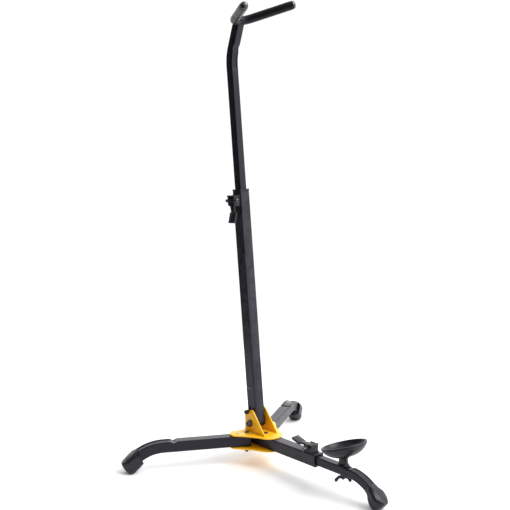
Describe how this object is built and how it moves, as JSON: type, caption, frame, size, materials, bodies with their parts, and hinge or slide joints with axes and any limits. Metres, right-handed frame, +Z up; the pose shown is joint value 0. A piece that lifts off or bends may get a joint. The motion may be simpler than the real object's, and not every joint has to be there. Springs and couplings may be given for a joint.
{
  "type": "instrument stand",
  "caption": "Folding tripod floor stand for a low wind instrument: leaning telescopic mast with a padded yoke, and a tilted swivelling cup on the front leg.",
  "frame": {"origin": "on the floor under the middle of the stand's bounding box", "axes": "+X towards the front leg and its cup, +Z up, +Y to the left seen from behind the mast looking forward"},
  "size_m": [0.5595, 0.5756, 1.0637],
  "materials": {
    "black_paint": "black powder coat, fine satin texture",
    "hub_paint": "golden yellow paint, satin gloss",
    "black_plastic": "matte moulded nylon",
    "gloss_plastic": "glossy moulded cap",
    "rubber": "matte moulded rubber",
    "foam": "closed-cell foam skin, matte",
    "black_steel": "black oxide steel",
    "bright_steel": "bright nickel plate"
  },
  "bodies": {
    "base": {"hub_top_plate": "hub_paint", "hub_bottom_plate": "hub_paint", "mast_ear_left": "hub_paint", "mast_ear_right": "hub_paint", "mast_spacer_left": "black_plastic", "mast_spacer_right": "black_plastic", "front_leg_outer": "black_paint", "front_leg_collar": "black_plastic", "front_leg_bolt_front": "black_steel", "front_leg_bolt_rear": "black_steel", "front_leg_nut_front": "black_steel", "front_leg_nut_rear": "black_steel", "left_leg_bolt": "black_steel", "left_leg_nut": "black_steel", "left_leg_washer_upper": "black_plastic", "left_leg_washer_lower": "black_plastic", "right_leg_bolt": "black_steel", "right_leg_nut": "black_steel", "right_leg_washer_upper": "black_plastic", "right_leg_washer_lower": "black_plastic", "mast_pivot_bolt": "black_steel", "mast_pivot_cap_nut": "black_steel", "front_clamp_bracket": "black_plastic", "front_clamp_pad": "black_plastic", "front_clamp_pivot": "black_steel", "front_clamp_nut": "black_steel"},
    "mast_lower": {"mast_outer": "black_paint", "mast_collar": "black_plastic", "mast_clamp_bracket": "black_plastic", "mast_clamp_pad": "black_plastic", "mast_clamp_pivot": "black_steel", "mast_clamp_nut": "black_steel", "lock_spring": "bright_steel", "lock_spring_screw": "black_steel", "lock_spring_nut": "black_steel"},
    "mast_upper": {"mast_inner": "black_paint", "mast_glide": "black_plastic", "yoke_rod": "black_steel", "yoke_sleeve": "foam", "yoke_cap_left": "gloss_plastic", "yoke_cap_right": "gloss_plastic"},
    "lock": {"lock_pin": "black_steel", "lock_pin_knob": "black_plastic"},
    "mast_lever": {"mast_clamp_lever": "black_plastic"},
    "front_lever": {"front_clamp_lever": "black_plastic"},
    "front_slide": {"front_leg_inner": "black_paint", "front_leg_glide": "black_plastic", "front_foot": "rubber", "cup_washer": "black_steel"},
    "cup_top": {"cup": "black_plastic", "cup_stud": "black_steel"},
    "wing_nut": {"cup_wing_nut": "black_plastic"},
    "left_leg_arm": {"left_leg": "black_paint", "left_foot": "rubber"},
    "right_leg_arm": {"right_leg": "black_paint", "right_foot": "rubber"},
    "left_button": {"left_leg_button": "bright_steel"},
    "right_button": {"right_leg_button": "bright_steel"}
  },
  "joints": [
    {"name": "mast_fold", "type": "hinge", "parent": "base", "child": "mast_lower", "pos_m": [-0.1207, 0, 0.0955], "axis": [0, -1, 0], "range_deg": [0, 84]},
    {"name": "mast_height", "type": "slide", "parent": "mast_lower", "child": "mast_upper", "axis": [-0.0993, 0, 0.9951], "range_m": [-0.26, 0.12]},
    {"name": "lock_pin_lift", "type": "slide", "parent": "mast_lower", "child": "lock", "axis": [-0.0993, 0, 0.9951], "range_m": [0, 0.009], "stiffness_N_per_m": 300, "deforming": ["lock_spring"]},
    {"name": "mast_clamp_open", "type": "hinge", "parent": "mast_lower", "child": "mast_lever", "pos_m": [-0.17274, -0.024, 0.61691], "axis": [-0.9951, 0, -0.0993], "range_deg": [0, 90]},
    {"name": "left_leg_fold", "type": "hinge", "parent": "base", "child": "left_leg_arm", "pos_m": [-0.12345, 0.02988, 0.0575], "axis": [0, 0, 1], "range_deg": [0, 60]},
    {"name": "right_leg_fold", "type": "hinge", "parent": "base", "child": "right_leg_arm", "pos_m": [-0.12345, -0.02988, 0.0575], "axis": [0, 0, -1], "range_deg": [0, 60]},
    {"name": "left_button_press", "type": "slide", "parent": "base", "child": "left_button", "axis": [0, 0, -1], "range_m": [0, 0.002], "stiffness_N_per_m": 300},
    {"name": "right_button_press", "type": "slide", "parent": "base", "child": "right_button", "axis": [0, 0, -1], "range_m": [0, 0.002], "stiffness_N_per_m": 300},
    {"name": "front_leg_length", "type": "slide", "parent": "base", "child": "front_slide", "axis": [1, 0, 0], "range_m": [-0.03, 0.05]},
    {"name": "front_clamp_open", "type": "hinge", "parent": "base", "child": "front_lever", "pos_m": [0.0576, 0, 0.0815], "axis": [0, 1, 0], "range_deg": [0, 90]},
    {"name": "cup_swivel", "type": "hinge", "parent": "front_slide", "child": "cup_top", "pos_m": [0.1563, 0, 0.075], "axis": [0, 0, 1], "continuous": true},
    {"name": "wing_nut_turn", "type": "hinge", "parent": "front_slide", "child": "wing_nut", "pos_m": [0.1563, 0, 0.042], "axis": [0, 0, -1], "continuous": true}
  ]
}
